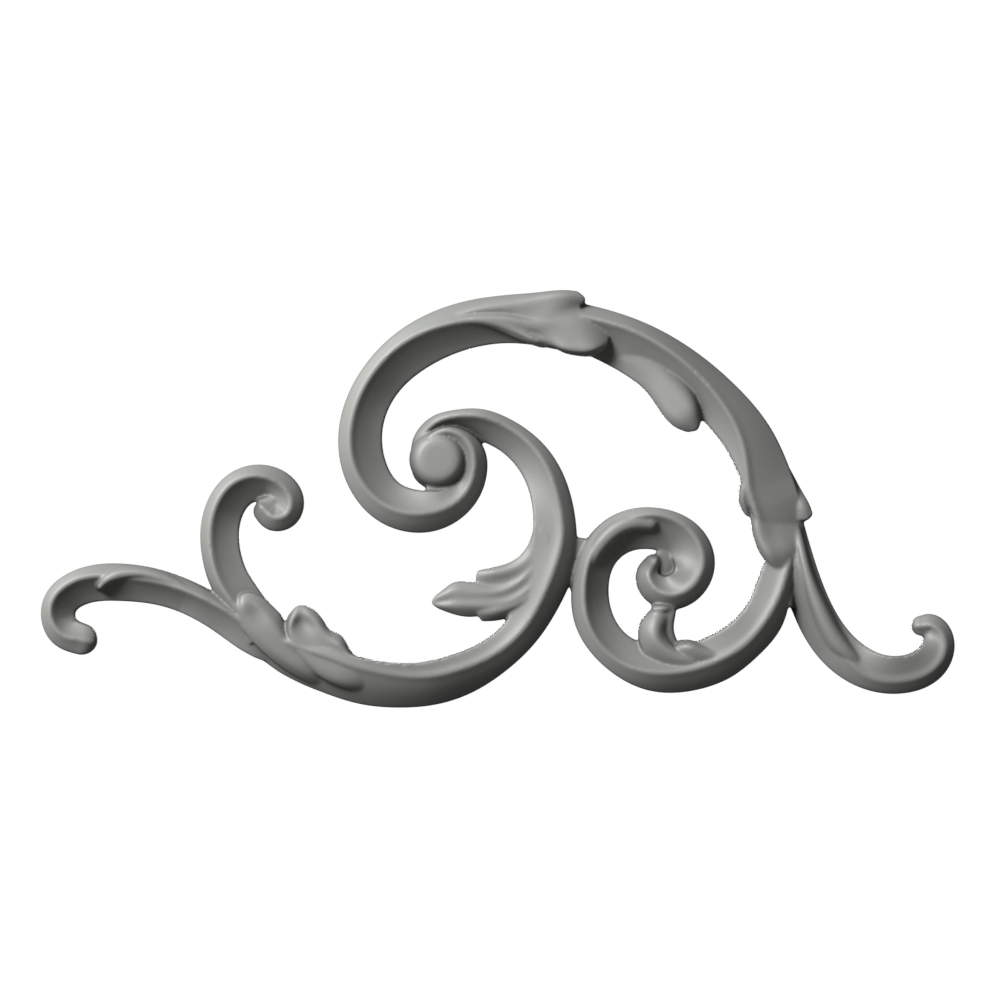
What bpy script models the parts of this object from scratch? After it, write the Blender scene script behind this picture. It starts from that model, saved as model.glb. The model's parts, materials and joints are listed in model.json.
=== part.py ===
"""A scrolled leaf applique: one polyurethane casting with a flat back, fixed to a wall or to furniture.

The carving is drawn in drawing units, x to the right and y down, and scaled to its real length. Its front
faces -Y, its back lies in the plane y = 0 and the origin is on the back, where the two big scrolls meet.
Every stem is a ridge with a rounded flank on one side and a hollow channel on the other. Every leaf lobe
is a domed tongue that rises out of its stem. Heights are drawn in sixteenths of the projection.
"""
from math import ceil, cos, hypot, pi, radians, sin

import bpy
import numpy as np

LENGTH = 0.400             # tip of the left curl to tip of the right one
PROJECTION = 0.016         # wall to the highest leaf
DRAWN_LENGTH = 915.0       # the same length on the drawing
ORIGIN = (556.0, 562.0)    # drawn place of the fixing point
UNIT = LENGTH / DRAWN_LENGTH
LEVEL = PROJECTION / 16

EDGE = 5.0                 # levels: height of a stem's side walls
RIDGE_GAIN = 0.20          # levels a ridge gains for each drawn unit of its stem's width
FLANK_SLOPE = 1.10         # steepest fall from the ridge to the outer edge
CHANNEL_SLOPE = 0.68       # and to the inner edge
TURN = radians(15)         # one section for each of these turns of a stem
REACH = 34.0               # and one for each of these drawn lengths
CAP_STEPS = 4              # sections that round off an end
CAP_STOP = radians(78)     # where an end stops narrowing and is closed flat
CURL_LIMIT = 0.86          # most of its own bend radius that a stem reaches inwards
BACKING = 3.0              # levels that each member first runs behind the wall
BACKING_STEP = 0.11        # each member runs this much further than the last
BOSS_SEGMENTS = 28

# Stems: x, y, width and the ridge's share of the width, taken from the outer edge.
STEMS = {
    # Big C scroll: from its end under the boss, left, over the top and down into the sheath.
    "crown": (1, 0, (
        (430, 437, 5, .5), (445, 431, 8, .5), (461, 435, 13, .5), (473, 451, 23, .5), (475, 470, 25, .55),
        (468, 489, 28, .52), (454, 503, 33, .50), (430, 511, 41, .47), (388, 501, 43, .39),
        (363.5, 463, 44, .28), (362.5, 420, 43, .27), (382, 378.5, 43, .26), (414, 348.5, 46, .28),
        (461, 326.5, 47, .40), (518, 319, 48, .50), (574, 327, 50, .30), (632, 342, 46, .14),
        (678, 367, 46, .20), (720, 403, 47.5, .42), (750.5, 441.5, 49, .66), (769, 484, 50, .86),
        (780, 520, 48, .86), (785, 548, 40, .70))),
    # S stem: from the left of the boss, over it, down the middle and left along the bottom.
    "s_stem": (1, 0, (
        (431, 487, 5, .5), (419, 477, 8, .5), (415, 458, 8, .5), (419, 440, 12, .5), (428, 430.5, 17, .45),
        (438, 424.5, 20, .35), (456, 422, 25, .25), (479, 424, 31, .24), (499, 431, 32, .25),
        (536, 462.5, 36, .30), (553.5, 510, 41, .34), (555, 533, 44, .34), (552, 562, 47, .42),
        (541.5, 593, 44, .45), (523.5, 628, 37, .50), (491.5, 658, 38, .57), (460, 674.5, 43, .64),
        (430, 683, 44.5, .68), (398, 685.5, 45, .75), (365, 681.5, 46, .80), (330, 670.5, 46, .80),
        (295, 652, 45, .70), (265, 634, 38, .60))),
    # Small scroll that rises at the left.
    "left_scroll": (0, 1, (
        (266, 634, 38, .30), (244, 601, 38, .27), (230, 580, 39, .26), (222, 556, 38.5, .26),
        (221.5, 520, 38, .26), (239, 489.5, 37, .27), (262, 481.5, 34.5, .30), (282, 486.5, 28, .42),
        (291, 500, 26, .50), (286.5, 514.5, 25, .50), (273, 518, 24, .50), (264, 511.5, 18, .50))),
    # Stem that runs out to the far left and hooks down.
    "left_stem": (1, 0, (
        (82, 639, 31, .45), (63, 629, 33, .30), (59.5, 606, 34, .28), (82, 586.5, 36, .26),
        (120, 582, 37.5, .32), (160, 587.5, 35, .30), (200, 603, 33, .30), (229, 619, 33, .30),
        (262, 638, 36, .40))),
    # Lower right scroll, from the sheath down, left and round into its eye.
    "fern": (0, 1, (
        (784, 556, 32, .30), (773, 590, 36, .30), (765, 614, 41, .42), (744.5, 639, 43, .42),
        (717, 658, 47, .60), (688, 667.5, 47, .60), (655, 668, 46, .45), (617.5, 651.5, 39, .33),
        (594.5, 620, 39, .33), (590.5, 586, 37, .33), (598, 557, 37, .32), (619.5, 534.5, 40, .30),
        (659.5, 529, 42, .15), (686, 542, 41, .20), (695, 563, 40, .28), (688, 583, 37, .36),
        (671, 592, 35, .42), (654.5, 587, 30, .47), (648, 573, 23, .55), (653, 562, 16, .60))),
    # Tail that leaves the sheath to the right and curls up.
    "tail": (1, 0, (
        (922, 623.5, 17, .50), (932, 624, 23, .40), (939, 638, 32, .28), (931, 661, 36, .33),
        (900, 674.5, 37.5, .38), (866, 668.5, 39, .36), (832, 641.5, 40, .45), (811.5, 606, 38.5, .45),
        (801.5, 577, 36, .45), (793, 545, 32, .45))),
}

# Tongues: x, y, width, height of the crown and height of the edge.
TONGUES = {
    # Ribs laid along the stems.
    "left_rib": (1, 0, ((101, 586, 8, 11, 9), (109, 579, 12, 13, 10), (121, 573.5, 16, 13.5, 9),
                        (150, 575, 15, 13, 9), (190, 588, 14, 12.5, 8), (224, 606, 14, 11.5, 8))),
    "tail_rib": (0, 1, ((799, 562, 20, 12.5, 9), (803, 580, 22, 13.5, 9), (810, 605, 23, 14, 9),
                        (822, 630, 22, 14, 9), (840, 651, 20, 13.5, 9), (859, 662.5, 15, 12.5, 9))),
    "fern_rib": (0, 1, ((585, 560, 14, 12, 9), (597, 541, 15, 13, 10), (615, 525, 16, 13.8, 10),
                        (635, 517.5, 16, 13.8, 10.5), (651, 520.5, 15, 13.5, 10.5))),
    # Leaf over the crown of the C scroll: upper lobe, main lobe and the small lobe below.
    "crown_upper": (0, 1, ((440, 316, 12, 13.5, 11), (480, 307, 20, 15, 12), (530, 303.5, 26, 16, 13),
                           (560, 301.5, 24, 16, 13), (573.5, 300.5, 21, 16, 13.5))),
    "crown_main": (0, 1, ((430, 334, 8, 13, 10), (470, 321, 16, 15, 12), (520, 326, 26, 16, 13),
                          (562, 332, 36, 16, 13.5), (590, 337.5, 36, 15.5, 13))),
    "crown_small": (0, 1, ((520, 330, 12, 14.5, 12), (543, 341.5, 13, 14, 12))),
    # Tongue that hangs inside the arch.
    "arch_tongue": (0, 1, ((600, 346, 26, 11, 8), (641, 366, 33, 11.5, 8), (669, 392, 35, 12.5, 9),
                           (684, 414, 30, 12.5, 10), (689, 422.5, 16, 12, 10))),
    # Sheath at the right shoulder: middle, left and right lobes.
    "sheath_middle": (0, 1, ((770, 480, 44, 12.5, 11), (774, 520, 44, 14, 12), (776.5, 538, 43, 15, 13),
                             (778, 552.5, 37, 15.5, 13.5))),
    "sheath_left": (0, 1, ((753, 462, 14, 13.5, 12), (749, 485, 16, 14, 12.5), (748, 504, 17, 14, 12.5),
                           (751, 510, 14, 14, 12.5))),
    "sheath_right": (0, 1, ((785, 480, 14, 11, 9), (796, 500, 16, 12.5, 10),
                            (804.8, 512.8, 15, 12.5, 10.5))),
    # Half leaf that fans out inside the S.
    "fan_middle": (0, 1, ((540, 556, 16, 13, 11), (522, 582, 22, 12, 9.5), (500, 594, 28, 11.5, 8.5),
                          (478, 598, 33, 11.5, 8.5), (461, 598.5, 35, 12, 9), (448, 600.5, 27, 12, 9.5))),
    "fan_upper": (0, .4, ((537, 535, 12, 13, 11), (523, 560, 18, 12, 10), (505, 573, 22, 12, 9.5),
                          (480, 577, 18, 12, 9.5))),
    "fan_lower": (0, .7, ((545, 575, 14, 13, 11), (527, 599, 18, 12, 9.5), (506, 610, 18, 11.5, 9),
                          (485.5, 613.8, 17, 11.5, 9))),
    # Leaves on the left of the bottom stem.
    "near_leaf": (0, 1, ((392, 688, 20, 11, 9.5), (352, 674, 30, 14, 12), (322, 651, 38, 15, 13.5),
                         (304, 623.5, 35, 15, 13))),
    "near_lobe": (0, 1, ((375, 672, 14, 12.5, 11), (357, 664, 16, 14, 12.5), (338, 643, 16, 14, 12.5))),
    "far_leaf": (0, 1, ((320, 682, 20, 10, 8), (285, 655, 36, 13.5, 12), (262, 628, 38, 14.5, 13),
                        (250, 606, 26, 14.5, 12.5))),
    # Bud inside the lower right scroll, from the bottom stem up to the scroll's eye.
    "bud": (0, .5, ((745, 655, 14, 12, 10), (712, 664, 24, 13.5, 10), (685, 662, 28, 14, 10),
                    (662, 649, 27, 14, 9.5), (655, 633, 32, 13.5, 9), (661, 618, 31, 12.5, 8.5),
                    (664, 608, 24, 11.5, 8))),
    "bud_side": (0, 1, ((740, 650, 14, 13, 11), (715, 656, 18, 14, 11), (695, 653, 20, 14.5, 11),
                        (685, 649, 18, 14, 11))),
    # Low webs: between the two big scrolls, between fern and tail, and inside the tight curls.
    "scroll_web": (.2, .2, ((582.5, 539, 15, 9, 7), (577, 590, 14, 9, 7))),
    "tail_web": (.2, .2, ((788, 570, 20, 9, 7), (789.5, 608, 6, 9, 7))),
    "left_eye": (1, 1, ((263, 503, 12, 7, 6), (278, 499, 14, 7, 6))),
    "fern_eye": (1, 1, ((659, 561, 16, 7, 6), (669, 569, 20, 7, 6))),
    "tail_tip": (1, 1, ((922.5, 627, 18, 9, 7), (932, 629.5, 19, 9, 7))),
}
DOME = (-1, -.8, -.35, .35, .8, 1)   # places across a tongue, edge to edge
DOME_POWER = 3.0                     # how flat the dome is on top

BOSS_CENTRE = (439.5, 458.5)
BOSS_PROFILE = ((29.5, 6.0), (25.5, 8.6), (22.8, 12.0), (19.0, 13.3))   # radius, level


def spline(values, knots, at):
    """Natural cubic spline through rows of values."""
    gaps = np.diff(knots)
    count = len(knots)
    system = np.eye(count)
    right = np.zeros_like(values)
    for i in range(1, count - 1):
        system[i, i - 1:i + 2] = gaps[i - 1], 2 * (gaps[i - 1] + gaps[i]), gaps[i]
        right[i] = 6 * ((values[i + 1] - values[i]) / gaps[i] - (values[i] - values[i - 1]) / gaps[i - 1])
    bend = np.linalg.solve(system, right)
    k = np.clip(np.searchsorted(knots, at) - 1, 0, count - 2)
    gap = gaps[k][:, None]
    before, after = (knots[k + 1] - at)[:, None] / gap, (at - knots[k])[:, None] / gap
    return (before * values[k] + after * values[k + 1]
            + ((before ** 3 - before) * bend[k] + (after ** 3 - after) * bend[k + 1]) * gap ** 2 / 6)


def sections(start_cap, end_cap, stations):
    """Centres, outward directions, left and right half widths, station values and cap heights."""
    values = np.array(stations, float)
    knots = np.r_[0, np.cumsum(np.hypot(*np.diff(values[:, :2], axis=0).T))]
    fine = np.linspace(0, knots[-1], ceil(knots[-1]) + 1)
    rows = spline(values, knots, fine)
    low, high = values.min(axis=0), values.max(axis=0)
    rows[:, 2:] = np.clip(rows[:, 2:], low[2:], high[2:])
    heading = np.gradient(rows[:, :2], fine, axis=0)
    heading /= np.linalg.norm(heading, axis=1)[:, None]
    turn = np.unwrap(np.arctan2(heading[:, 1], heading[:, 0]))
    bend = np.gradient(turn, fine)
    effort = np.r_[0, np.cumsum(np.abs(np.diff(turn)) / TURN + np.diff(fine) / REACH)]
    picks = np.interp(np.linspace(0, effort[-1], ceil(effort[-1]) + 1), effort, np.arange(len(fine)))
    picks = np.round(picks).astype(int)
    out = []
    for k in picks:
        half = rows[k, 2] / 2
        reach = CURL_LIMIT / max(abs(bend[k]), 1e-6)
        inward = min(half, reach)
        left, right = (half, inward) if bend[k] > 0 else (inward, half)
        out.append([rows[k, :2], heading[k], left, right, rows[k, 2:], 1.0])
    for cap, first, way in ((start_cap, True, -1), (end_cap, False, 1)):
        if not cap:
            continue
        centre, along, left, right, rest, _ = out[0 if first else -1]
        for step in range(1, CAP_STEPS + 1):
            angle = CAP_STOP * step / CAP_STEPS
            place = centre + along * way * cap * rest[0] / 2 * sin(angle)
            row = [place, along, left * cos(angle), right * cos(angle), rest, cos(angle)]
            out.insert(0, row) if first else out.append(row)
    return out


def place(x, y, level):
    return (x - ORIGIN[0]) * UNIT, -level * LEVEL, (ORIGIN[1] - y) * UNIT


def loft(name, rings):
    """Closed solid through rings of points that all hold the same count."""
    size = len(rings[0])
    points = [point for ring in rings for point in ring]
    faces = [(i * size + j, i * size + (j + 1) % size, (i + 1) * size + (j + 1) % size, (i + 1) * size + j)
             for i in range(len(rings) - 1) for j in range(size)]
    faces += [tuple(reversed(range(size))), tuple(range((len(rings) - 1) * size, len(rings) * size))]
    mesh = bpy.data.meshes.new(name)
    mesh.from_pydata(points, [], faces)
    body = bpy.data.objects.new(name, mesh)
    bpy.context.scene.collection.objects.link(body)
    bpy.context.view_layer.objects.active = body
    body.select_set(True)
    bpy.ops.object.mode_set(mode="EDIT")
    bpy.ops.mesh.select_all(action="SELECT")
    bpy.ops.mesh.normals_make_consistent(inside=False)
    bpy.ops.object.mode_set(mode="OBJECT")
    body.select_set(False)
    return body


def across(centre, along, left, right, shares, levels, backing):
    """One ring: points across the section, from its left edge (-1) to its right (1), then the back."""
    side = np.array((along[1], -along[0]))
    ring = []
    for share, level in zip(shares, levels):
        spot = centre + side * (share * (left if share > 0 else right))
        ring.append(place(*spot, level))
    for share in (shares[-1], shares[0]):
        spot = centre + side * (share * (left if share > 0 else right))
        ring.append(place(*spot, -backing))
    return ring


def stem(name, caps_and_stations, backing):
    rings = []
    for centre, along, left, right, (width, ridge), cap in sections(*caps_and_stations):
        top = EDGE + RIDGE_GAIN * width
        crest = 1 - 2 * ridge
        flank = min(top - EDGE, FLANK_SLOPE * width * ridge * UNIT / LEVEL)
        channel = min(top - EDGE, CHANNEL_SLOPE * width * (1 - ridge) * UNIT / LEVEL)
        hollow, shoulder = (crest - 1) / 2, (crest + 1) / 2
        shares = (-1, hollow, crest, shoulder, 1)
        falls = (channel, channel * 0.6, 0, flank * 0.355, flank)
        levels = [EDGE + (top - fall - EDGE) * cap for fall in falls]
        rings.append(across(centre, along, left, right, shares, levels, backing))
    return loft(name, rings)


def tongue(name, caps_and_stations, backing):
    rings = []
    for centre, along, left, right, (_, crown, edge), cap in sections(*caps_and_stations):
        levels = [edge + (crown - edge) * (1 - abs(share) ** DOME_POWER) * cap for share in DOME]
        rings.append(across(centre, along, left, right, DOME, levels, backing))
    return loft(name, rings)


def button(name, backing):
    """The round boss, as rings that narrow towards the front."""
    rings = []
    for radius, level in ((BOSS_PROFILE[0][0], -backing),) + BOSS_PROFILE:
        turns = (2 * pi * k / BOSS_SEGMENTS for k in range(BOSS_SEGMENTS))
        rings.append([place(BOSS_CENTRE[0] + radius * cos(a), BOSS_CENTRE[1] + radius * sin(a), level)
                      for a in turns])
    return loft(name, rings)


def combine(body, others, operation):
    """Join or cut with one exact Boolean, then drop the other objects."""
    group = bpy.data.collections.new("others")
    bpy.context.scene.collection.children.link(group)
    for other in others:
        group.objects.link(other)
    step = body.modifiers.new("step", "BOOLEAN")
    step.operation, step.solver, step.use_self = operation, "EXACT", True
    step.operand_type, step.collection = "COLLECTION", group
    bpy.context.view_layer.objects.active = body
    bpy.ops.object.modifier_apply(modifier="step")
    for other in others:
        bpy.data.objects.remove(other)


for old in list(bpy.data.objects):
    bpy.data.objects.remove(old)

members = []
for label, data in STEMS.items():
    members.append(stem(label, data, BACKING + BACKING_STEP * len(members)))
for label, data in TONGUES.items():
    members.append(tongue(label, data, BACKING + BACKING_STEP * len(members)))
members.append(button("boss", BACKING + BACKING_STEP * len(members)))

applique, *others = members
applique.name = "applique"
combine(applique, others, "UNION")

# One cut in the plane of the wall leaves a single flat back.
reach = 2 * LENGTH
bpy.ops.mesh.primitive_cube_add(size=reach, location=(0, reach / 2, 0))
combine(applique, [bpy.context.object], "DIFFERENCE")

applique.data.validate()
for polygon in applique.data.polygons:
    polygon.use_smooth = True
applique.select_set(True)
bpy.context.view_layer.objects.active = applique
bpy.ops.object.shade_smooth_by_angle(angle=radians(50))

paint = bpy.data.materials.new("primer")
paint.use_nodes = True
surface = paint.node_tree.nodes["Principled BSDF"]
surface.inputs["Base Color"].default_value = (0.39, 0.39, 0.38, 1)
surface.inputs["Roughness"].default_value = 0.5
surface.inputs["Metallic"].default_value = 0.0
applique.data.materials.append(paint)
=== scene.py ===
"""Looks of the scrolled leaf applique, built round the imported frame."""
import json
from math import ceil, pi, radians

import bpy
import numpy as np
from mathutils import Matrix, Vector

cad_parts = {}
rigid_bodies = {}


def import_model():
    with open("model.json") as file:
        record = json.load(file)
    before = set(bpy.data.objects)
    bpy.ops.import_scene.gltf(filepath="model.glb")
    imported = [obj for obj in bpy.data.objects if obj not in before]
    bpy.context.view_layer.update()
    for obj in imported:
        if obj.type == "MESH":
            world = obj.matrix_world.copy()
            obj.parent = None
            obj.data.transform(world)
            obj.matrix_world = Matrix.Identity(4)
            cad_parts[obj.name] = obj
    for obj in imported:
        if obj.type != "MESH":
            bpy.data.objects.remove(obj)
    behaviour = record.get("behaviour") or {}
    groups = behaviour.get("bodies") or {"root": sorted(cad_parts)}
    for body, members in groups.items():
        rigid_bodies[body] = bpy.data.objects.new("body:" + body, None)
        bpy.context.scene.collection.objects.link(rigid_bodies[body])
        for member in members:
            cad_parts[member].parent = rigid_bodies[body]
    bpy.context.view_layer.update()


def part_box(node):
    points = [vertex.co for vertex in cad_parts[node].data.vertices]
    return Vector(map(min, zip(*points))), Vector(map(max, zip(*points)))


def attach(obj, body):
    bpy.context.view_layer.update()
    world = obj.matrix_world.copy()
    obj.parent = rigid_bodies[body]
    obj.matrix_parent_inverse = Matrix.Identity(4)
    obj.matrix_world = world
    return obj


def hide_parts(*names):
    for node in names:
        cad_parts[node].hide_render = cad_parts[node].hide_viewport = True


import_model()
casting_low, casting_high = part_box("applique")
for loaded in bpy.context.scene.objects:
    loaded.select_set(False)

# The six scroll stems. On the real casting each is a crisp ridge with a rounded outer flank and a hollow
# channel inside the bend, all carved in one master and moulded as one piece of polyurethane. They are
# drawn in drawing units, x right and y down, and their heights in sixteenths of the projection.
drawn_left, drawn_right = 40.5, 955.5
drawn_origin = (556.0, 562.0)
unit = (casting_high.x - casting_low.x) / (drawn_right - drawn_left)
level = 0.001               # a sixteenth of the projection
edge_level = 5.0            # height of a stem's side walls
ridge_gain = 0.20           # levels that a ridge gains for each drawn unit of width
channel_foot, flank_foot = 4.2, 1.2  # lowest that a channel and a flank may fall
crest_round = 2.8           # radius that softens a ridge, in drawn units
bead_rise, bead_reach = 0.7, 4.2    # the fine bead along a ridge, in levels and drawn units
flank_bow, channel_bow = 0.4, 0.4   # how round a flank is and how hollow a channel
cap_bow = 0.7               # how full the rounded end of a member is
strand_step, fewest_rows = 1.0, 8   # drawn units between two rows of a strip, and its least rows
columns = 44                # points across a strip
cap_rows, cap_tip = 14, 0.03        # rows of a rounded end, and the share of the width left at its tip
curl_limit, straight = 0.86, 1e-6   # share of its bend radius that a stem reaches inwards; least bend
back_depth = 0.024          # how far a strip is thickened backwards, past the wall

# End caps, then x, y, width, ridge's share from the outer edge, extra height, falls of channel and flank.
stems = {
    "crown_scroll": (1, 0, (
        (430, 437, 5, .5, 5.5, .5, .9), (445, 431, 8, .5, 5.5, .5, .9), (461, 435, 13, .5, 4.5, .5, .9),
        (473, 451, 23, .5, 2.2, .5, .9), (475, 470, 25, .55, 1, .5, .9), (468, 489, 28, .52, 0, .4, .9),
        (454, 503, 33, .50, 0, .2, .9), (430, 511, 41, .47, 0, .3, .95), (388, 501, 43, .39, 0, .6, .8),
        (363.5, 463, 44, .28, 0, .6, .8), (362.5, 420, 43, .27, 0, .58, .8),
        (382, 378.5, 43, .26, 0, .72, .8), (414, 348.5, 46, .28, 0, .9, .8),
        (461, 326.5, 47, .40, 0, 1.0, .8), (518, 319, 48, .45, -2, .9, .8),
        (574, 327, 50, .28, -2.5, .7, 1.1), (632, 342, 46, .27, .3, .68, 1.4),
        (678, 367, 46, .34, .3, .85, 1.3), (720, 403, 47.5, .47, 0, .7, .85),
        (750.5, 441.5, 49, .69, 0, .6, .56), (769, 484, 50, .92, -.8, .6, .38),
        (780, 520, 48, .92, -2.6, .6, .30), (785, 548, 40, .70, -4, .6, .5))),
    "s_scroll": (1, 0, (
        (431, 487, 5, .5, 0, .5, .9), (419, 477, 8, .5, 0, .5, .9), (415, 458, 8, .5, 0, .6, .9),
        (419, 440, 12, .5, 0, .7, .9), (428, 430.5, 17, .45, 0, .8, .9), (438, 424.5, 20, .35, 1, .85, .9),
        (456, 422, 25, .25, 1.5, .85, .9), (479, 424, 31, .24, 1, .80, .9), (499, 431, 32, .25, 0, .75, .9),
        (536, 462.5, 36, .30, 0, .5, .95), (553.5, 510, 41, .34, 0, .15, .95),
        (555, 533, 44, .34, 0, .12, .95), (552, 562, 47, .42, 0, .2, .9), (541.5, 593, 44, .45, 0, .25, .9),
        (523.5, 628, 37, .50, 0, .25, .9), (491.5, 658, 38, .57, .3, .12, .9),
        (460, 674.5, 43, .64, .4, 0, 1.0), (430, 683, 44.5, .68, .2, -.15, .95),
        (398, 685.2, 44.8, .75, 0, -.3, .9), (365, 681.5, 46, .80, 0, -.3, .88),
        (330, 670.5, 46, .80, 0, -.1, .82), (294, 653.5, 47, .70, -1, .3, .8),
        (264, 635, 40, .60, -2, .4, .8))),
    "rising_scroll": (0, 1, (
        (266, 634, 38, .30, -1, .55, .9), (244, 601, 38, .27, 0, .52, .9), (230, 580, 39, .26, 0, .5, .9),
        (222, 556, 38.5, .26, 0, .52, .9), (221.5, 520, 38, .26, 0, .62, .9),
        (239, 489.5, 37, .27, 0, .85, .9), (262, 481.5, 34.5, .34, 0, .85, .9),
        (282, 486.5, 28, .46, 0, .55, .9), (291, 500, 26, .50, 0, .4, .9),
        (286.5, 514.5, 26, .52, 0, .4, .9), (273, 517.5, 25.5, .54, 0, .4, .9),
        (264.5, 511, 22, .56, 0, .4, .9))),
    "left_arm": (1, 0, (
        (82, 639, 31, .50, -.5, .3, .55), (64, 630, 33, .38, 0, .55, .8), (59.5, 606, 34, .27, .5, 1.0, .9),
        (82, 586.5, 36, .27, .3, 1.2, .9), (120, 582, 37.5, .34, 0, 1.2, 1.2),
        (160, 587.5, 35, .34, .8, 1.1, 1.2), (200, 603, 33, .30, 1.2, .75, 1.1),
        (228.5, 619.5, 35, .30, 0, .65, .9), (261, 639, 38, .40, -2, .5, .8),
        (290, 652, 32, .40, -5, .5, .8))),
    "lower_scroll": (0, 1, (
        (784, 556, 32, .30, -1, .2, .9), (773, 590, 36, .30, 0, .16, .9), (765, 614, 41, .42, 0, .16, .9),
        (744.5, 639, 43, .42, 0, .1, .9), (717, 658, 47, .46, -.5, .2, .9),
        (688, 667.5, 47, .46, -1, .3, .9), (655, 668, 46, .42, -.5, .45, .9),
        (617.5, 651.5, 39, .33, 0, .50, .8), (594.5, 620, 39, .33, 0, .65, .85),
        (590.5, 586, 37, .33, 0, .80, .85), (598, 557, 37, .32, 0, .90, .85),
        (619.5, 534.5, 40, .30, 0, .95, .9), (659.5, 529, 42, .17, 0, .65, .9),
        (686, 542, 41, .25, 0, .6, .9), (695, 563, 40, .31, 0, .3, .9), (688, 583, 37, .38, 0, .1, .9),
        (671, 592, 35, .44, 0, .4, .9), (654.5, 587, 30, .50, 0, .5, .9), (648, 573, 23, .55, 0, .5, .9),
        (653, 562, 16, .60, -1, .5, .9))),
    "tail": (1, 0, (
        (922, 625.5, 20, .50, 0, .35, .7), (930, 626, 25, .45, 0, .35, .8),
        (936.6, 633, 29, .36, 0, .2, .9), (938.4, 645, 32.5, .31, 0, 0, .9),
        (931, 661, 36, .33, 0, -.12, .9), (900, 674.5, 37.5, .36, 0, -.28, .9),
        (866, 668.5, 39, .36, -.5, -.1, .9), (832, 641.5, 40, .60, -1, .4, 1.0),
        (811.5, 606, 38.5, .60, -1, .4, 1.0), (801.5, 577, 36, .55, -1, .4, .9),
        (796, 549, 30, .45, -1.6, .4, .9), (791, 526, 27, .45, -4, .8, .9),
        (785, 503, 24, .45, -6, .6, .9))),
}


def flowing(values, knots, at):
    """Natural cubic spline through rows of values."""
    gaps = np.diff(knots)
    count = len(knots)
    system = np.eye(count)
    right = np.zeros_like(values)
    for i in range(1, count - 1):
        system[i, i - 1:i + 2] = gaps[i - 1], 2 * (gaps[i - 1] + gaps[i]), gaps[i]
        right[i] = 6 * ((values[i + 1] - values[i]) / gaps[i] - (values[i] - values[i - 1]) / gaps[i - 1])
    bend = np.linalg.solve(system, right)
    k = np.clip(np.searchsorted(knots, at) - 1, 0, count - 2)
    gap = gaps[k][:, None]
    before, after = (knots[k + 1] - at)[:, None] / gap, (at - knots[k])[:, None] / gap
    return (before * values[k] + after * values[k + 1]
            + ((before ** 3 - before) * bend[k] + (after ** 3 - after) * bend[k + 1]) * gap ** 2 / 6)


def follow(stations, start_cap, end_cap):
    """Rows along a member: place, outward side, reach to the right and left, other values, and roundness."""
    values = np.array(stations, float)
    knots = np.r_[0, np.cumsum(np.hypot(*np.diff(values[:, :2], axis=0).T))]
    at = np.linspace(0, knots[-1], max(fewest_rows, ceil(knots[-1] / strand_step)))
    rows = flowing(values, knots, at)
    rows[:, 2:] = np.clip(rows[:, 2:], values[:, 2:].min(axis=0), values[:, 2:].max(axis=0))
    heading = np.gradient(rows[:, :2], at, axis=0)
    heading /= np.linalg.norm(heading, axis=1)[:, None]
    bend = np.gradient(np.unwrap(np.arctan2(heading[:, 1], heading[:, 0])), at)
    half = rows[:, 2] / 2
    inward = np.minimum(half, curl_limit / np.maximum(np.abs(bend), straight))
    left, right = np.where(bend > 0, inward, half), np.where(bend > 0, half, inward)
    full = np.ones(len(rows))
    for cap, end, way in ((start_cap, 0, -1), (end_cap, -1, 1)):
        if not cap:
            continue
        turns = np.linspace(0, pi / 2, cap_rows + 1)[1:]
        places = rows[end, :2] + np.outer(np.sin(turns) * cap * half[end] * way, heading[end])
        extra = np.column_stack([places, np.tile(rows[end, 2:], (cap_rows, 1))])
        narrowing = np.maximum(np.cos(turns), cap_tip)
        parts = [(rows, extra), (heading, np.tile(heading[end], (cap_rows, 1))),
                 (left, left[end] * narrowing), (right, right[end] * narrowing), (full, narrowing)]
        joined = [np.concatenate([b[::-1], a] if way < 0 else [a, b]) for a, b in parts]
        rows, heading, left, right, full = joined
        half = rows[:, 2] / 2
    side = np.column_stack([heading[:, 1], -heading[:, 0]])
    return rows, side, right, left, full


def strip(name, drawn, heights):
    """A grid of clay shaped to rows x columns of drawn places and heights, then thickened past the wall."""
    rows, across = heights.shape
    bpy.ops.mesh.primitive_grid_add(x_subdivisions=rows - 1, y_subdivisions=across - 1, size=1)
    piece = bpy.context.object
    piece.name = name
    places = np.empty((rows, across, 3))
    places[..., 0] = (drawn[..., 0] - drawn_origin[0]) * unit
    places[..., 1] = -heights * level
    places[..., 2] = (drawn_origin[1] - drawn[..., 1]) * unit
    piece.data.vertices.foreach_set("co", places.transpose(1, 0, 2).ravel())
    bpy.ops.object.mode_set(mode="EDIT")
    bpy.ops.mesh.select_all(action="SELECT")
    bpy.ops.mesh.extrude_region_move(TRANSFORM_OT_translate={"value": (0, back_depth, 0)})
    bpy.ops.mesh.select_all(action="SELECT")
    bpy.ops.mesh.normals_make_consistent(inside=False)
    bpy.ops.object.mode_set(mode="OBJECT")
    piece.select_set(False)
    return piece


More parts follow.
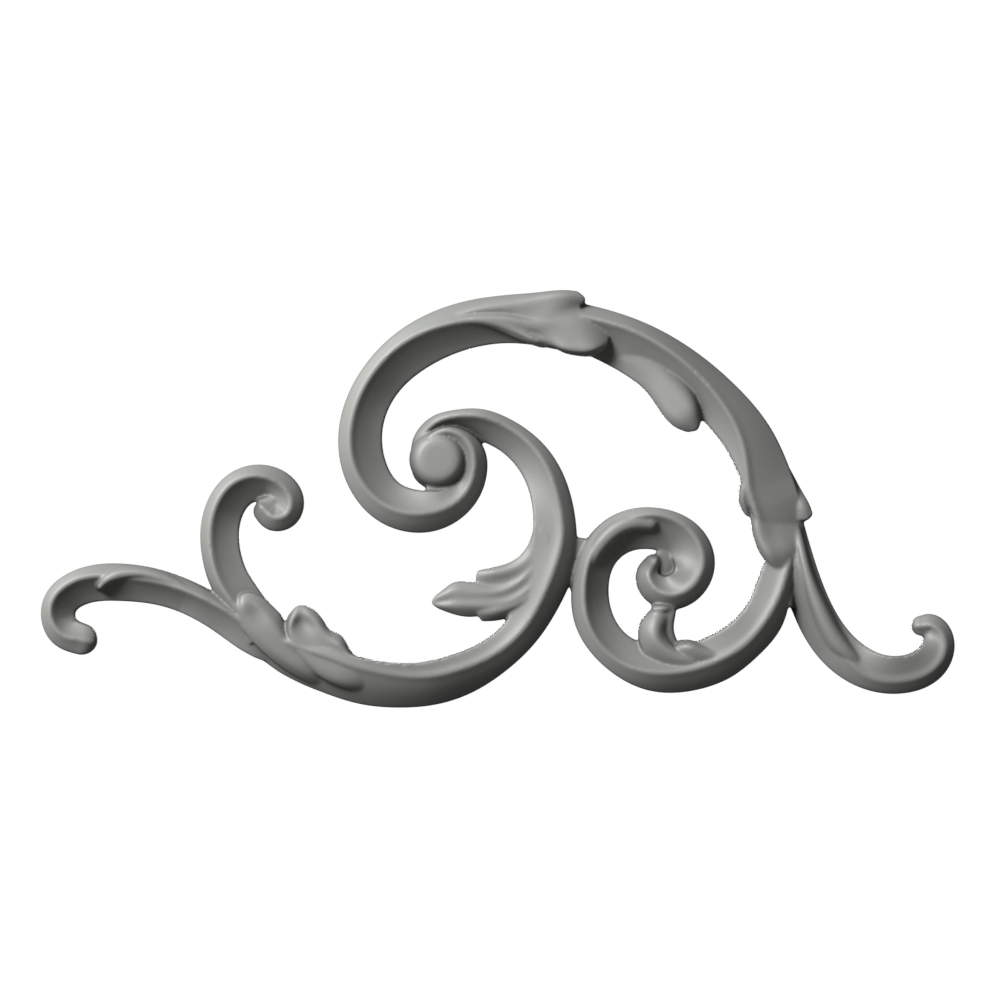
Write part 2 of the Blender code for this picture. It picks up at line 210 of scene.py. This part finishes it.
members = []
for stem, (start_cap, end_cap, stations) in stems.items():
    rows, side, right, left, full = follow(stations, start_cap, end_cap)
    share = np.linspace(-1, 1, columns)[None]
    width, ridge, lift, fall, flank_fall = (rows[:, k:k + 1] for k in range(2, 7))
    top = edge_level + ridge_gain * width + lift
    crest = 1 - 2 * ridge
    from_crest = (share - crest) * width / 2
    rounded = np.sqrt(from_crest ** 2 + crest_round ** 2) - crest_round
    outward = np.clip(rounded / (width * ridge), 0, 1)
    inward = np.clip(rounded / (width * (1 - ridge)), 0, 1)
    flank = np.minimum(top - flank_foot, flank_fall * width * ridge * unit / level)
    channel = np.minimum(top - channel_foot, fall * width * (1 - ridge) * unit / level)
    heights = top - np.where(share >= crest, flank * ((1 - flank_bow) * outward + flank_bow * outward ** 2),
                             channel * ((1 + channel_bow) * inward - channel_bow * inward ** 2))
    heights = heights + bead_rise * np.exp(-(from_crest / bead_reach) ** 2)
    heights = edge_level + (heights - edge_level) * full[:, None] ** cap_bow
    reach = np.where(share > 0, right[:, None], left[:, None])
    drawn = rows[:, None, :2] + side[:, None] * (share * reach)[..., None]
    members.append(strip(stem, drawn, heights))

# Ribs, webs and small rolls. These are narrow rounded strands laid along the stems, the low webs that tie
# neighbouring scrolls together so that the casting doesn't snap, and the floors inside the tight curls.
# End caps, then x, y, width, height of the crown and height of the edges.
strands = {
    "left_rib": (1, 0, ((102, 585, 11, 13.8, 9), (107, 580, 15, 15.0, 9), (117, 575, 18, 15.2, 9),
                        (132, 572.5, 16, 14.8, 9.5), (160, 577, 14, 14.0, 9.5), (195, 592, 12, 12.0, 9))),
    "tail_rib": (0, 1, ((797, 528, 10, 8, 5), (801, 548, 15, 11.5, 6), (807, 573, 18, 13.6, 7),
                        (815, 597, 23, 14.4, 7), (825, 620, 26, 14.6, 7), (838, 642, 26, 14.4, 7),
                        (852, 656, 20, 13.4, 7.5), (861, 662, 14, 12.0, 8))),
    "lower_rib": (0, 1, ((588, 566, 16, 11.5, 9), (594, 554, 19, 13.0, 9), (604, 540, 21, 14.0, 9.5),
                         (618, 528, 21, 14.4, 10), (634, 522, 21, 14.2, 10), (649, 522.5, 19, 13.4, 9.5))),
    "scroll_web": (.2, .2, ((581, 539, 15, 9, 7), (577, 590, 13, 9, 7))),
    "tail_web": (.2, .2, ((788, 570, 20, 9, 7), (789.5, 606, 8, 9, 7))),
    "rising_eye": (1, 1, ((263, 503, 12, 8, 6.5), (278, 499, 14, 8, 6.5))),
    "lower_eye": (1, 1, ((664, 559, 20, 5.6, 4.6), (671, 568, 34, 5.6, 4.6))),
    "bud_floor": (.3, .3, ((668, 612, 16, 10.5, 9.5), (667, 630, 14, 10.2, 9), (671, 648, 18, 10.2, 9))),
    "boss_floor": (.8, .8, ((430, 488.5, 10, 9.4, 8.4), (447, 488, 10, 9.4, 8.4))),
    "bud_collar": (.8, .8, ((656, 609, 11, 11.8, 8.5), (664, 608.5, 11, 12.2, 8.5),
                            (672, 610, 10, 10, 7.5))),
}
dome_power = 2.5
for strand, (start_cap, end_cap, stations) in strands.items():
    rows, side, right, left, full = follow(stations, start_cap, end_cap)
    share = np.linspace(-1, 1, columns // 2)[None]
    crown, edge = rows[:, 3:4], rows[:, 4:5]
    heights = edge + (crown - edge) * (1 - np.abs(share) ** dome_power) * full[:, None] ** cap_bow
    reach = np.where(share > 0, right[:, None], left[:, None])
    drawn = rows[:, None, :2] + side[:, None] * (share * reach)[..., None]
    members.append(strip(strand, drawn, heights))

# Leaves and the bud. Each lobe is a thin raised sheet with its own lip, hollow and veins, carved as part
# of the same master. A lobe is lofted through rails of x, y and height that run from its root, sunk in
# the stem, out to its tip.
leaves = {
    "crown_leaf": (
        ((425, 317, 6.0), (460, 303, 8.0), (500, 295.5, 9.6), (540, 292.0, 11.0), (568, 290.1, 11.6),
         (577, 291.0, 11.4)),
        ((430, 319, 10.0), (465, 308, 12.0), (503, 301.5, 13.0), (540, 297, 13.8), (568, 294.5, 14.0),
         (584, 296.5, 11.8)),
        ((433, 321, 12.4), (470, 312, 13.4), (507, 308.5, 13.8), (540, 306, 14.2), (566, 302.5, 14.1),
         (584.5, 302.5, 11.4)),
        ((436, 322.5, 13.2), (470, 314.5, 13.3), (505, 313.5, 13.3), (532, 317, 13.8), (556, 314, 14.3),
         (581, 308.5, 11.6)),
        ((438, 323.5, 14.0), (464, 318, 14.6), (488, 316.5, 14.8), (512, 318.0, 14.9), (533, 321.5, 14.6),
         (556, 321.5, 14.6), (580, 318.5, 13.6), (597, 318, 10.8)),
        ((440, 325, 14.4), (466, 320, 15.0), (489, 319.5, 15.2), (512, 323, 15.1), (530, 328, 14.6),
         (552, 330, 14.4), (584, 329, 14.4), (606, 329, 10.8)),
        ((441, 326, 14.4), (467, 321.5, 15.0), (490, 322, 15.1), (512, 327, 14.8), (528, 332.5, 13.9),
         (542, 336.5, 13.4), (558, 340.5, 14.6), (575, 343.5, 15.1), (592, 343.5, 14.8), (609, 339, 10.8)),
        ((442, 327, 13.9), (467, 323.5, 14.3), (491, 325, 14.3), (511, 330.5, 14.5), (526, 336.5, 14.6),
         (538, 341, 14.2), (547, 342.5, 13.0), (560, 347.5, 14.6), (577, 351.5, 15.0), (594, 350.5, 14.6),
         (607.5, 345.5, 10.8)),
        ((443, 329, 12.1), (468, 326, 12.1), (491, 328, 11.9), (511, 336, 11.4), (525, 342, 11.2),
         (536, 345.8, 11), (544.5, 347.5, 10.6), (551, 346.8, 10.4), (562, 351.5, 10.6), (577, 355.5, 10.6),
         (592, 355.8, 10.4), (603, 351.5, 10.2))),
    "arch_leaf": (
        ((592, 356.5, 3.0), (612, 366.5, 3.8), (631, 378, 4.8), (645, 389.5, 5.8), (656, 404, 6.8),
         (665, 417, 7.6), (676, 427, 8.0), (688, 432, 8.2)),
        ((604, 356, 3.8), (618, 364, 4.8), (635, 374.5, 6.2), (649, 386.5, 7.8), (660, 401, 9.2),
         (669, 413.5, 10.2), (680, 423, 10.6), (693, 431, 8.8)),
        ((607, 351.5, 4.8), (622, 359.5, 6.2), (640, 369.5, 7.8), (655, 381, 9.2), (667, 395, 10.4),
         (676, 408, 11.2), (686, 418, 11.6), (697, 430, 9)),
        ((611, 346.5, 5.9), (627, 354, 7.2), (646, 364, 8.6), (662, 375, 9.8), (675, 388.5, 11.0),
         (685, 402, 12.0), (692.5, 413.5, 12.0), (699.5, 426, 9.2)),
        ((615, 341.5, 7.0), (632, 348.5, 7.8), (652, 359, 8.6), (669, 370.5, 9.3), (683, 383, 10.0),
         (692.5, 397, 10.8), (697.5, 409, 10.7), (701, 421, 9)),
        ((619, 336.5, 7.0), (637, 343, 7.2), (658, 353, 7.4), (677, 366, 7.4), (690, 380, 7.2),
         (697.5, 394, 7.2), (701.5, 406, 7.2), (703, 416, 7.4))),
    "sheath_middle": (
        ((752, 498, 7.0), (751, 514, 9.0), (752.5, 530, 10), (757, 546, 10.2), (763, 557, 10.4),
         (771, 565, 10.6)),
        ((757, 488, 9.8), (756.5, 507, 11.8), (757.5, 526, 13.1), (761.5, 542, 13.4), (768, 555, 13.4),
         (776, 567.5, 10.6)),
        ((768, 479, 7.4), (769, 501, 9.5), (770, 520, 11.1), (772, 538, 12.3), (777, 553, 13.0),
         (782, 568.5, 10.6)),
        ((780, 479, 5.0), (781, 501, 7.5), (782, 520, 9.5), (784, 537, 10.9), (787.5, 550, 11.8),
         (790, 565, 10.2)),
        ((792, 486, 2.4), (796, 508, 5.0), (799, 526, 7.4), (800.5, 541, 8.8), (799, 552, 9.6),
         (796, 560, 9.8))),
    "sheath_left": (
        ((747, 458, 9.0), (743, 474, 10), (739.5, 490, 10), (739.5, 502, 10), (744, 512.5, 10)),
        ((748, 452, 12.6), (746, 470, 13.8), (743, 488, 14.2), (743, 502, 13.0), (748, 516, 10.2)),
        ((756, 450, 10.0), (756, 470, 11.2), (755, 490, 11.2), (754, 503, 10.4), (752.5, 515.5, 9.2))),
    "sheath_right": (
        ((774, 464, 5.0), (783, 483, 5.2), (790, 497, 6.4), (794.5, 507, 7.6), (798, 519.5, 7.8)),
        ((780, 461, 4.0), (790, 480, 5.4), (797.5, 495, 7.2), (803.5, 507, 8.8), (807, 520, 8.0)),
        ((784, 457, 2.6), (795, 477, 4.0), (803.5, 493, 5.6), (810, 505, 7.2), (813, 514, 7.6))),
    "fan_upper": (
        ((534, 527, 11.0), (529, 543, 11.0), (520, 555.5, 10.6), (508, 563, 10.2), (492, 567.3, 10.0),
         (478, 570.3, 9.8)),
        ((540, 527, 12.6), (534, 548, 12.3), (523, 562, 12.1), (508, 570, 11.9), (492, 573.5, 11.6),
         (476.3, 576, 9.9)),
        ((544, 530, 13.0), (538, 553, 12.6), (527, 567, 12.0), (512, 577, 11.1), (494, 582, 10.5),
         (477, 583, 9.8)),
        ((548, 533, 13.3), (541, 556, 12.9), (530, 571, 12.4), (515, 583, 11.8), (498, 589.5, 11.4),
         (481, 591, 10.8))),
    "fan_main": (
        ((546, 533, 13.1), (538, 557, 12.6), (527, 571, 12.1), (512, 582, 11.2), (495, 586, 10.6),
         (478, 582.8, 10.2), (466, 581.3, 10.0), (455, 581.8, 9.8), (445, 588, 9.6), (436, 595, 9.4)),
        ((548, 536, 13.3), (541, 559, 12.9), (530, 573.5, 12.4), (515, 585, 12.1), (498, 591.5, 11.8),
         (480, 592, 11.8), (466, 591, 11.9), (454, 590.5, 11.9), (444, 594.5, 11.2), (432.8, 599, 9.4)),
        ((551, 541, 13.4), (544, 563, 12.8), (533, 578, 12.1), (518, 590, 11.5), (502, 597, 11.3),
         (485, 598.5, 11.6), (468, 599, 11.8), (455, 599, 11.6), (442, 601, 10.2), (432.0, 602, 9.2)),
        ((554, 546, 13.7), (547, 567, 13.1), (536, 582, 12.6), (521, 595.5, 12.2), (505, 603, 12.0),
         (487, 606, 12.1), (470, 606.5, 12.1), (456, 606, 11.9), (445, 605.5, 11.2), (433.8, 605, 9.2)),
        ((554, 553, 13.0), (548, 573, 12.2), (537, 588, 11.4), (523, 600, 10.8), (508, 608, 10.4),
         (492, 612, 10), (476, 616.2, 8.6), (460, 615.5, 8.6), (448, 612, 8.6), (439, 608.5, 8.8))),
    "fan_lower": (
        ((554, 550, 13.4), (547, 570, 13.1), (536, 585, 12.5), (522, 597.5, 12.0), (507, 604.5, 11.9),
         (493, 606.5, 11.9), (480, 607.5, 11.4)),
        ((554, 556, 13.1), (547, 577, 12.6), (536, 592, 12.1), (522, 603.5, 11.6), (508, 609.5, 11.5),
         (494, 613, 11.8), (478.5, 614, 10.6)),
        ((553, 562, 12.2), (546, 583, 10.8), (534.5, 598, 9.4), (521, 609.5, 8.6), (509, 617, 8.4),
         (495, 620.5, 8.4), (482, 621, 8.6))),
    "near_leaf": (
        ((382, 695, 3), (350, 690, 8.0), (324, 679, 10), (304, 663, 10.6), (291, 645, 11),
         (286.5, 630, 11.2), (288, 616, 11.2)),
        ((382, 690, 6), (352, 684.5, 11.2), (327, 674, 12.9), (308, 658, 13.5), (296, 642, 14.0),
         (291.5, 628, 14.5), (293, 616, 14.4), (295, 607.5, 12)),
        ((382, 683, 9), (355, 675, 13.0), (335, 662, 13.9), (318, 647, 13.8), (306, 632, 13.3),
         (301, 621, 12.8), (301, 612, 13.5), (300.5, 605, 12)),
        ((382, 676, 11.4), (358, 666, 13.7), (342, 655, 14.2), (329, 643, 14.3), (318, 631, 14.1),
         (310, 619.5, 13.6), (307, 612, 13.7), (306, 605.5, 12)),
        ((380, 669, 12), (360, 661.5, 13.4), (348.5, 652, 14.2), (339, 642.5, 15.0), (331, 636.5, 14.3),
         (322, 626.5, 14.1), (315, 616.5, 13.9), (309.5, 607, 12)),
        ((378, 663, 10.5), (361, 659, 11), (351, 650.5, 11.4), (345.5, 640.5, 11.6), (339.5, 634, 11.6),
         (330, 629.5, 11.4), (324, 620.5, 11.6), (315, 610, 11.6))),
    "far_leaf": (
        ((330, 691, 2), (308, 682, 5.5), (285, 669, 7.5), (265, 653, 9.6), (249, 636, 11), (239.5, 620, 12),
         (237.5, 605, 12.3), (239.5, 597, 12)),
        ((333, 686, 4), (311, 677, 8.5), (289, 663, 11), (270, 647, 12.3), (256, 630, 13.2),
         (246.5, 614, 13.8), (242.5, 603, 14.2), (242.5, 593.8, 12.2)),
        ((335, 681, 5), (314, 671, 10), (293, 656, 12), (277, 640, 13.0), (264, 623, 13.4),
         (256, 610, 13.4), (250.5, 601, 13.8), (248.5, 592, 12)),
        ((337, 677, 5), (317, 665, 10), (298, 650, 11.9), (284, 636, 13), (274, 622, 13.6),
         (266, 611, 13.4), (259, 602, 13), (256, 593.5, 11.5)),
        ((339, 673, 4), (320, 661, 8), (302, 646, 10), (289, 631, 10.3), (281.5, 615, 10.5),
         (272, 605, 10.5), (266, 599, 10.8), (262, 596.5, 11))),
    "bud": (
        ((752, 660, 2), (738, 667, 4), (718, 670.5, 7), (692, 672.5, 9.2), (668, 669, 10), (652, 660, 10.4),
         (642, 648, 10.4), (638.5, 634, 9.6), (641.5, 620, 9), (650, 610.5, 8.5)),
        ((752, 655, 3), (736, 662, 6), (716, 666, 10), (694, 667.5, 12.2), (674, 663.5, 12.8),
         (658.5, 654, 13.2), (648, 642, 13), (645, 630, 12.3), (648, 620, 11.6), (654, 610.5, 10.5)),
        ((752, 650, 3), (735, 657, 7), (715, 660.5, 11), (696, 661, 13.2), (680, 657, 14.2),
         (667, 649.5, 14.6), (658.5, 641, 14.8), (655.5, 630, 14.4), (657, 620, 13.2), (660.5, 611, 11.4)),
        ((750, 645, 3), (734, 652, 6), (714, 656, 10), (698, 656, 12.4), (685, 652.5, 12.6),
         (675, 647, 12.0), (668, 639, 11.4), (665, 630, 11.0), (667, 620, 10.6), (670, 611, 9.8))),
    "bud_short": (
        ((766, 616, 4), (752, 633, 7), (736, 643, 9.5), (716, 645.5, 10.4), (700, 642.5, 10.6),
         (689, 639.5, 10.6), (679, 640, 10.4)),
        ((768, 624, 4), (752, 640, 8.5), (734, 649.5, 11.8), (714, 651.5, 13.3), (700, 648, 14.3),
         (688, 644.5, 14.7), (675, 646, 11.6)),
        ((768, 632, 4), (751, 648, 8.5), (732, 656, 11.8), (713, 658, 13.4), (698, 656, 14.2),
         (686, 652.5, 14.0), (672, 654, 11.4)),
        ((766, 640, 3), (748, 656, 7), (729, 663, 9.8), (711, 666, 11.2), (697, 665.5, 11.8),
         (684, 663, 11.8), (673, 661, 11))),
}
for leaf, rails in leaves.items():
    chords = [np.hypot(*np.diff(np.array(rail)[:, :2], axis=0).T) for rail in rails]
    steps = ceil(max(chord.sum() for chord in chords) / strand_step)
    lines = []
    for rail, chord in zip(rails, chords):
        knots = np.r_[0, np.cumsum(chord)] / chord.sum()
        lines.append(flowing(np.array(rail, float), knots, np.linspace(0, 1, steps)))
    spread = flowing(np.array(lines).reshape(len(rails), -1), np.arange(len(rails), dtype=float),
                     np.linspace(0, len(rails) - 1, columns)).reshape(columns, steps, 3)
    members.append(strip(leaf, spread[..., :2], spread[..., 2]))

# The round boss in the C scroll's eye: a low button with a flat top and a soft shoulder. It is turned as
# a disc here, as on a carver's master, and let into the end of the scroll.
boss_centre = (438.5, 459.0)
boss_rings = ((29.0, 7.5), (27.2, 9.6), (25.0, 11.3), (22.2, 12.6), (18.8, 13.4), (14.0, 13.7))
boss_radius, boss_level = boss_rings[0]
boss_sides = 96
front_facing = -0.9         # a face's normal along Y, when it faces the front
bpy.ops.mesh.primitive_cylinder_add(
    vertices=boss_sides, radius=boss_radius * unit, depth=back_depth, rotation=(radians(90), 0, 0),
    location=((boss_centre[0] - drawn_origin[0]) * unit, back_depth / 2 - boss_level * level,
              (drawn_origin[1] - boss_centre[1]) * unit))
boss = bpy.context.object
boss.name = "boss"
bpy.ops.object.transform_apply(location=True, rotation=True, scale=True)
bpy.ops.object.mode_set(mode="EDIT")
bpy.ops.mesh.select_all(action="DESELECT")
bpy.ops.object.mode_set(mode="OBJECT")
for face in boss.data.polygons:
    face.select = face.normal.y < front_facing
for (outer, before), (inner, after) in zip(boss_rings, boss_rings[1:]):
    bpy.ops.object.mode_set(mode="EDIT")
    bpy.ops.mesh.inset(thickness=(outer - inner) * unit, depth=0)
    bpy.ops.transform.translate(value=(0, (before - after) * level, 0))
    bpy.ops.object.mode_set(mode="OBJECT")
boss.select_set(False)
members.append(boss)

# One casting. The members are fused, the arrises are rubbed soft as on a primed moulding, and the flat
# back is cut in the wall's plane. It is polyurethane foam with a hard skin, glued on by its back.
voxel = 0.00058
rub_strength, rub_passes = 0.5, 8
most_triangles = 192000
wall_cut = 0.0010           # below this height the side walls run straight back
arris_angle = radians(40)   # edges sharper than this stay crisp
for member in members:
    member.select_set(True)
casting = members[0]
bpy.context.view_layer.objects.active = casting
bpy.ops.object.join()
casting.name = "scroll_casting"
fuse = casting.modifiers.new("fuse", "REMESH")
fuse.mode, fuse.voxel_size, fuse.adaptivity = "VOXEL", voxel, 0.0
bpy.ops.object.modifier_apply(modifier="fuse")
rub = casting.modifiers.new("rub", "SMOOTH")
rub.factor, rub.iterations = rub_strength, rub_passes
bpy.ops.object.modifier_apply(modifier="rub")
bpy.ops.object.mode_set(mode="EDIT")
bpy.ops.mesh.select_all(action="SELECT")
bpy.ops.mesh.bisect(plane_co=(0, -wall_cut, 0), plane_no=(0, 1, 0), clear_outer=True)
bpy.ops.mesh.select_all(action="DESELECT")
bpy.ops.mesh.select_mode(type="EDGE")
bpy.ops.mesh.select_non_manifold()
bpy.ops.mesh.extrude_edges_move(TRANSFORM_OT_translate={"value": (0, wall_cut, 0)})
bpy.ops.mesh.fill(use_beauty=True)
bpy.ops.mesh.select_all(action="SELECT")
bpy.ops.mesh.normals_make_consistent(inside=False)
bpy.ops.object.mode_set(mode="OBJECT")
thin = casting.modifiers.new("thin", "DECIMATE")
thin.ratio = min(1, most_triangles / sum(len(face.vertices) - 2 for face in casting.data.polygons))
bpy.ops.object.modifier_apply(modifier="thin")
bpy.ops.object.shade_smooth_by_angle(angle=arris_angle)


class Value:
    """A number that varies over the surface, so that sums and products read as sums and products."""

    def __init__(self, tree, socket):
        self.tree, self.socket = tree, socket

    def maths(self, operation, first, second):
        node = self.tree.nodes.new("ShaderNodeMath")
        node.operation = operation
        for entry, given in zip(node.inputs, (first, second)):
            if isinstance(given, Value):
                self.tree.links.new(given.socket, entry)
            else:
                entry.default_value = given
        return Value(self.tree, node.outputs[0])

    def __add__(self, other):
        return self.maths("ADD", self, other)

    def __mul__(self, other):
        return self.maths("MULTIPLY", self, other)

    __radd__, __rmul__ = __add__, __mul__


def node(tree, kind, settings, sockets):
    """One shader node with its settings and the values or links of its sockets."""
    made = tree.nodes.new(kind)
    for name, setting in settings.items():
        setattr(made, name, setting)
    for name, given in sockets.items():
        if isinstance(given, Value):
            tree.links.new(given.socket, made.inputs[name])
        elif isinstance(given, bpy.types.NodeSocket):
            tree.links.new(given, made.inputs[name])
        else:
            made.inputs[name].default_value = given
    return made


# Grey primer, sprayed on: an even satin film with faint clouds of thicker and thinner coat, a very fine
# orange peel, and painted shade: ambient occlusion darkens the base colour in the hollows and channels.
primer = bpy.data.materials.new("grey_primer")
primer.use_nodes = True
tree = primer.node_tree
coat = tree.nodes["Principled BSDF"]
where = node(tree, "ShaderNodeTexCoord", {}, {}).outputs["Object"]
clouds = node(tree, "ShaderNodeTexNoise", {},
              {"Vector": where, "Scale": 22.0, "Detail": 3.0, "Roughness": 0.5})
speckle = node(tree, "ShaderNodeTexNoise", {},
               {"Vector": where, "Scale": 420.0, "Detail": 2.0, "Roughness": 0.5})
peel = node(tree, "ShaderNodeTexNoise", {},
            {"Vector": where, "Scale": 900.0, "Detail": 2.0, "Roughness": 0.55})
cloud = Value(tree, clouds.outputs["Fac"])
grain = Value(tree, speckle.outputs["Fac"])
cloud_part = 0.75
thickness = cloud * cloud_part + grain * (1 - cloud_part)
thin_coat, thick_coat = (0.322, 0.329, 0.313, 1), (0.389, 0.397, 0.377, 1)
first_colour, second_colour, mixed_colour = 6, 7, 2     # a Mix node's colour sockets
film = node(tree, "ShaderNodeMix", {"data_type": "RGBA"}, {"Factor": thickness})
film.inputs[first_colour].default_value = thin_coat
film.inputs[second_colour].default_value = thick_coat
# Painted shade: the base colour is multiplied darker wherever ambient occlusion finds a hollow.
hollow = node(tree, "ShaderNodeAmbientOcclusion", {"samples": 8}, {"Distance": 0.026})
openness = Value(tree, hollow.outputs["AO"])
shade = node(tree, "ShaderNodeMapRange", {}, {"Value": openness, "From Min": 0.55, "From Max": 0.98,
                                              "To Min": 0.31, "To Max": 1.0})
painted_shade_tint = node(tree, "ShaderNodeMix", {"data_type": "RGBA", "blend_type": "MULTIPLY"}, {"Factor": 1.0})
tree.links.new(film.outputs[mixed_colour], painted_shade_tint.inputs[first_colour])
tree.links.new(shade.outputs["Result"], painted_shade_tint.inputs[second_colour])
tree.links.new(painted_shade_tint.outputs[mixed_colour], coat.inputs["Base Color"])
least_roughness, roughness_swing = 0.50, 0.10
tree.links.new((cloud * roughness_swing + least_roughness).socket, coat.inputs["Roughness"])
coat.inputs["Metallic"].default_value = 0.12
relief = node(tree, "ShaderNodeBump", {}, {"Height": Value(tree, peel.outputs["Fac"]), "Strength": 0.12,
                                           "Distance": 0.0002})
tree.links.new(relief.outputs["Normal"], coat.inputs["Normal"])
coat.inputs["Specular IOR Level"].default_value = 0.55
casting.data.materials.clear()
casting.data.materials.append(primer)
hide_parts("applique")
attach(casting, "root")

# Plain pale floor, well below the hung casting and out of the front view.
floor_side, floor_drop = 1.6, 0.62
bpy.ops.mesh.primitive_plane_add(size=floor_side, location=(0, 0, -floor_drop))
floor = bpy.context.object
floor.name = "floor"
floor_paint = bpy.data.materials.new("pale_floor")
floor_paint.use_nodes = True
paint = floor_paint.node_tree.nodes["Principled BSDF"]
paint.inputs["Base Color"].default_value = (0.82, 0.82, 0.81, 1)
paint.inputs["Roughness"].default_value = 0.7
floor.data.materials.append(floor_paint)
floor.visible_diffuse = False
floor.visible_glossy = False

# White studio surround: the camera sees it as plain white, and the casting gets only a little light from it.
world = bpy.data.worlds.new("studio")
bpy.context.scene.world = world
world.use_nodes = True
room = world.node_tree
backdrop = room.nodes["Background"]
backdrop.inputs["Color"].default_value = (1, 1, 1, 1)
backdrop.inputs["Strength"].default_value = 0.07
seen = node(room, "ShaderNodeBackground", {}, {"Color": (1, 1, 1, 1), "Strength": 1.0})
ray = node(room, "ShaderNodeLightPath", {}, {})
either = node(room, "ShaderNodeMixShader", {}, {"Fac": ray.outputs["Is Camera Ray"]})
room.links.new(backdrop.outputs["Background"], either.inputs[1])
room.links.new(seen.outputs["Background"], either.inputs[2])
room.links.new(either.outputs["Shader"], room.nodes["World Output"].inputs["Surface"])
bpy.context.scene.view_settings.view_transform = "Standard"

# Two soft boxes: the main one at the upper left in front of the casting, and a weaker one behind it that
# only reaches the flat back and the side walls.
light_distance = 2.0
drawn_middle = (498, 498)
middle = Vector(((drawn_middle[0] - drawn_origin[0]) * unit, 0, (drawn_origin[1] - drawn_middle[1]) * unit))
soft_boxes = {"front_box": (Vector((-0.58, -0.62, 0.50)), 0.9, 51.0),
              "back_box": (Vector((0, 1, 0)), 0.3, 8.0)}
for soft_box, (towards_light, width, watts) in soft_boxes.items():
    towards_light.normalize()
    light_data = bpy.data.lights.new(soft_box, "AREA")
    light_data.shape, light_data.size, light_data.energy = "DISK", width, watts
    light = bpy.data.objects.new(soft_box, light_data)
    bpy.context.scene.collection.objects.link(light)
    light.location = middle + towards_light * light_distance
    light.rotation_euler = (-towards_light).to_track_quat("-Z", "Y").to_euler()

# Camera straight in front, at the photograph's framing.
photo_side = 1000
photo_middle = (500.2, 499.7)
lens, sensor = 300.0, 36.0
middle_level = 5            # the relief's middle height, which the framing is true to
camera_data = bpy.data.cameras.new("camera")
camera_data.lens, camera_data.sensor_width = lens, sensor
camera = bpy.data.objects.new("camera", camera_data)
bpy.context.scene.collection.objects.link(camera)
distance = photo_side * unit * lens / sensor + middle_level * level
camera.location = ((photo_middle[0] - drawn_origin[0]) * unit, -distance,
                   (drawn_origin[1] - photo_middle[1]) * unit)
camera.rotation_euler = (radians(90), 0, 0)
bpy.context.scene.camera = camera
